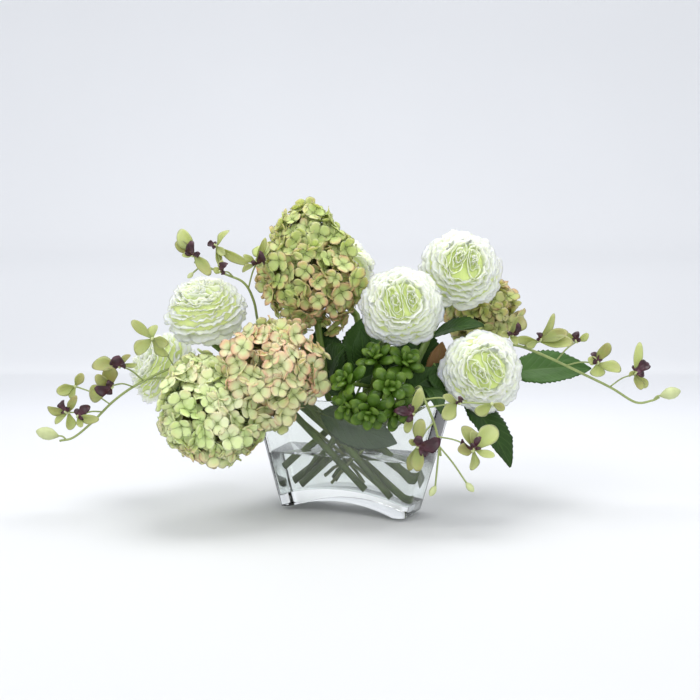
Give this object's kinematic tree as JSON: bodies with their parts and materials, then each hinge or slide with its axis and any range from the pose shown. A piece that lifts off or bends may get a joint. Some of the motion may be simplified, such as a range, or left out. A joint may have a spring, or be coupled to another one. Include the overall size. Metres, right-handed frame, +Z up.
{
  "type": "low flower arrangement in a glass vase",
  "caption": "Low wide bouquet of ranunculus, hydrangea, orchid sprays and a succulent cutting, standing in a fan-shaped clear glass vase of water.",
  "frame": {"origin": "below the middle of the arrangement's bounding box, on the surface that the vase stands on", "axes": "+X along the arrangement's longest side, to the right as seen from its front; -Y towards its front; +Z up"},
  "size_m": [0.7524, 0.275, 0.3663],
  "materials": {
    "glass": "clear polished glass",
    "water": "clear still water",
    "ranunculus": "soft matt petals, greener towards the heart",
    "hydrangea": "soft matt florets, pale green with pink edges",
    "orchid": "satin petals, yellow green with dark red lips",
    "succulent": "plump satin leaves",
    "foliage": "satin leaves and stems"
  },
  "bodies": {
    "root": {"glass_vase": "glass", "water": "water", "ranunculus_a_bloom": "ranunculus", "ranunculus_b_bloom": "ranunculus", "ranunculus_c_bloom": "ranunculus", "ranunculus_d_bloom": "ranunculus", "ranunculus_e_bloom": "ranunculus", "ranunculus_f_bloom": "ranunculus", "ranunculus_a_stem": "foliage", "ranunculus_b_stem": "foliage", "ranunculus_c_stem": "foliage", "ranunculus_d_stem": "foliage", "ranunculus_e_stem": "foliage", "ranunculus_f_stem": "foliage", "hydrangea_upper_head": "hydrangea", "hydrangea_front_head": "hydrangea", "hydrangea_left_head": "hydrangea", "hydrangea_right_head": "hydrangea", "hydrangea_upper_stem": "foliage", "hydrangea_front_stem": "foliage", "hydrangea_left_stem": "foliage", "hydrangea_right_stem": "foliage", "orchid_spray_left": "orchid", "orchid_spray_upper": "orchid", "orchid_spray_right": "orchid", "orchid_spray_front": "orchid", "succulent_cutting": "succulent"}
  },
  "joints": []
}
